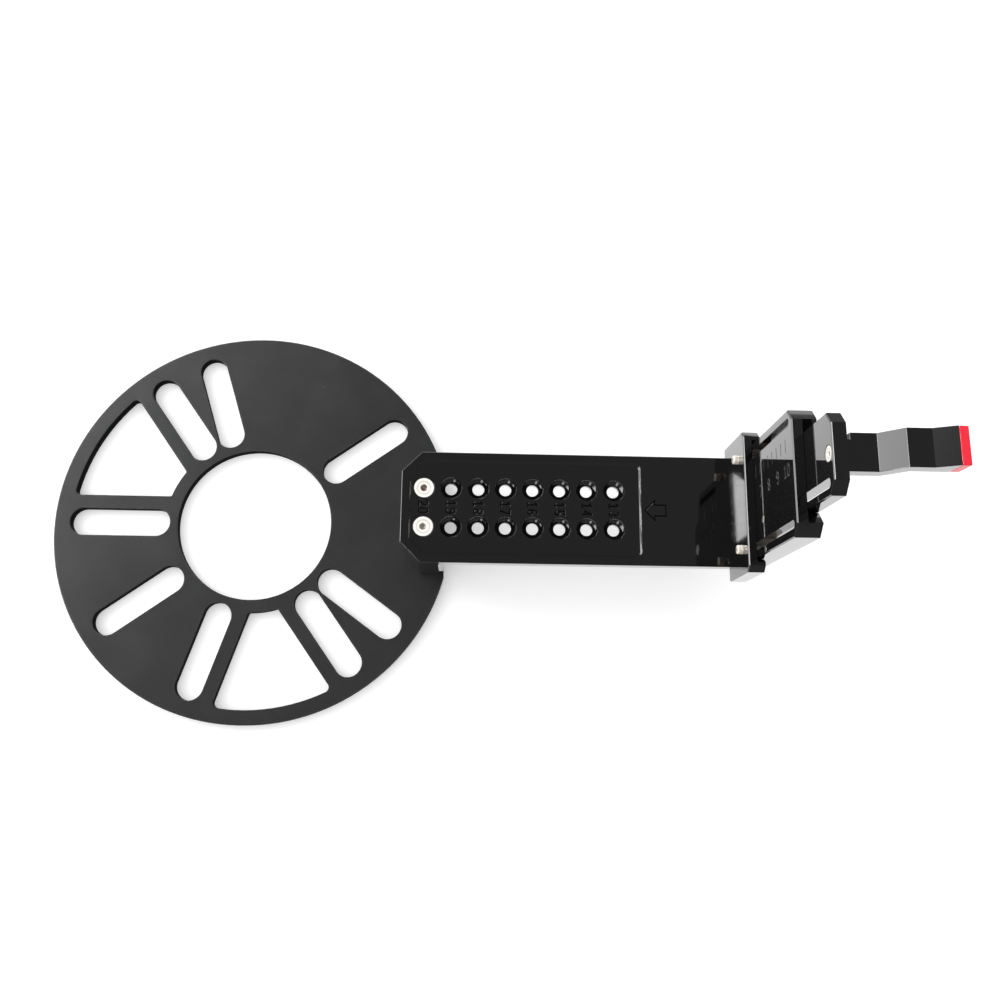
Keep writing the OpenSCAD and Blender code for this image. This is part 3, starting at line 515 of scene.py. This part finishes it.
# A white table, lifted to pure white where the camera or gloss sees it, with its shadows kept
clear_selection()
bpy.ops.mesh.primitive_plane_add(size=1.2, location=(0.09, 0, 0))
floor = bpy.context.object
floor.name = "table"
table_finish = bpy.data.materials.new("white table")
table_finish.use_nodes = True
tree = table_finish.node_tree
tree.nodes.clear()
white = add(tree, "BsdfDiffuse", {"Color": hexcolour("#f4f4f4")})
path = add(tree, "LightPath").node.outputs
seen = add(tree, "Math", [path["Is Camera Ray"], path["Is Glossy Ray"]], operation="MAXIMUM")
lift = add(tree, "Math", [seen, 0.28], operation="MULTIPLY")
glow = add(tree, "Emission", {"Color": hexcolour("#ffffff"), "Strength": lift})
add(tree, "OutputMaterial", {"Surface": add(tree, "AddShader", [white, glow])})
finish(floor, table_finish)

# Where the light comes from: a key at the upper left, and two low panels that only gloss shows
KEY = Vector((-0.75, 0.35, 0.56)).normalized()
LOW_LEFT = Vector((-0.958, 0.216, 0.179)).normalized()
LOW_FRONT = Vector((-0.438, -0.854, 0.277)).normalized()

world = bpy.data.worlds.new("studio")
bpy.context.scene.world = world
world.use_nodes = True
tree = world.node_tree
tree.nodes.clear()
path = add(tree, "LightPath").node.outputs
direction = add(tree, "TexCoord").node.outputs["Generated"]
glows = []
# Each glow grows from nothing to full between two cosines of the angle off its aim
for aim, start, full in ((KEY, -0.2, 1.0), (LOW_LEFT, 0.72, 0.93), (LOW_FRONT, 0.985, 0.995)):
    towards = add(tree, "VectorMath", [direction, aim], operation="DOT_PRODUCT")
    glows.append(add(tree, "MapRange", [towards, start, full, 0.0, 1.0], interpolation_type="SMOOTHSTEP"))
# What lights the table and dull surfaces: a white room, brighter towards the key
room = add(tree, "Math", [glows[0], 1.02, 0.56], operation="MULTIPLY_ADD")
# What shows in gloss: a dim room, a long low softbox at the left, and a slit of light in front
softbox = add(tree, "Math", [glows[1], 5.2, 0.25], operation="MULTIPLY_ADD")
mirrored = add(tree, "Math", [glows[2], 3.2, softbox], operation="MULTIPLY_ADD")
ambient = add(tree, "Mix", [path["Is Glossy Ray"], room, mirrored], data_type="FLOAT")
strength = add(tree, "Mix", [path["Is Camera Ray"], ambient, 1.0], data_type="FLOAT")
sky = add(tree, "Background", {"Color": hexcolour("#ffffff"), "Strength": strength})
add(tree, "OutputWorld", {"Surface": sky})

# A ceiling that only gloss sees, and that brightens to the left
clear_selection()
bpy.ops.mesh.primitive_plane_add(size=8, location=(-2.2, 0.8, 2.2))
bpy.ops.object.transform_apply(location=True, rotation=True, scale=True)
ceiling = bpy.context.object
ceiling.name = "ceiling"
ceiling.visible_camera = False
ceiling.visible_diffuse = False
ceiling.visible_shadow = False
ceiling.visible_transmission = False
lit_ceiling = bpy.data.materials.new("lit ceiling")
lit_ceiling.use_nodes = True
tree = lit_ceiling.node_tree
tree.nodes.clear()
place = add(tree, "TexCoord").node.outputs["Object"]
leftward = add(tree, "VectorMath", [place, (-1.0, 0.5, 0.0)], operation="DOT_PRODUCT")
near = add(tree, "MapRange", [leftward, 0.6, 1.3, 0.22, 0.92], interpolation_type="SMOOTHSTEP")
far = add(tree, "MapRange", [leftward, 1.3, 4.6, 0.0, 3.6])
level = add(tree, "Math", [near, far], operation="ADD")
# A bright tube along the ceiling, which only the plates' rounded edges reflect, as thin lines
tube = add(tree, "Math", [leftward, 2.6, 0.75], operation="COMPARE")
level = add(tree, "Math", [tube, 14.0, level], operation="MULTIPLY_ADD")
glow = add(tree, "Emission", {"Color": hexcolour("#ffffff"), "Strength": level})
add(tree, "OutputMaterial", {"Surface": glow})
finish(ceiling, lit_ceiling)

key_data = bpy.data.lights.new("key", "AREA")
key_data.shape = "DISK"
key_data.size = 0.6
key_data.energy = 3.0
key = bpy.data.objects.new("key", key_data)
key.location = Vector((0.09, 0, 0.05)) + KEY * 1.2
key.rotation_euler = KEY.to_track_quat("Z", "Y").to_euler()
key.visible_glossy = False
bpy.context.scene.collection.objects.link(key)

# A strip lamp that rises away from the arm: its light comes off the arm's top, and shows in the
# end plate as a bright shape that narrows to the right. It lights the arm alone
STRIP_NEAR = Vector((-0.0443, 0.219, 0.9975))
STRIP_FAR = Vector((-0.2015, 0.3248, 1.4575))
STRIP_GLOW = 17
along = (STRIP_FAR - STRIP_NEAR).normalized()
back = Vector((0, 1, 0)).cross(along).normalized()
strip_data = bpy.data.lights.new("strip", "AREA")
strip_data.shape = "RECTANGLE"
strip_data.size = (STRIP_FAR - STRIP_NEAR).length
strip_data.size_y = 0.103
strip_data.energy = STRIP_GLOW * math.pi * strip_data.size * strip_data.size_y
strip = bpy.data.objects.new("strip", strip_data)
strip.location = (STRIP_NEAR + STRIP_FAR) / 2
strip.rotation_euler = Matrix((along, back.cross(along), back)).transposed().to_euler()
strip.visible_diffuse = False
bpy.context.scene.collection.objects.link(strip)
lit = bpy.data.collections.new("lit by the strip")
lit.objects.link(nodes["diameter_arm"])
strip.light_linking.receiver_collection = lit

bpy.context.scene.view_settings.view_transform = "Standard"
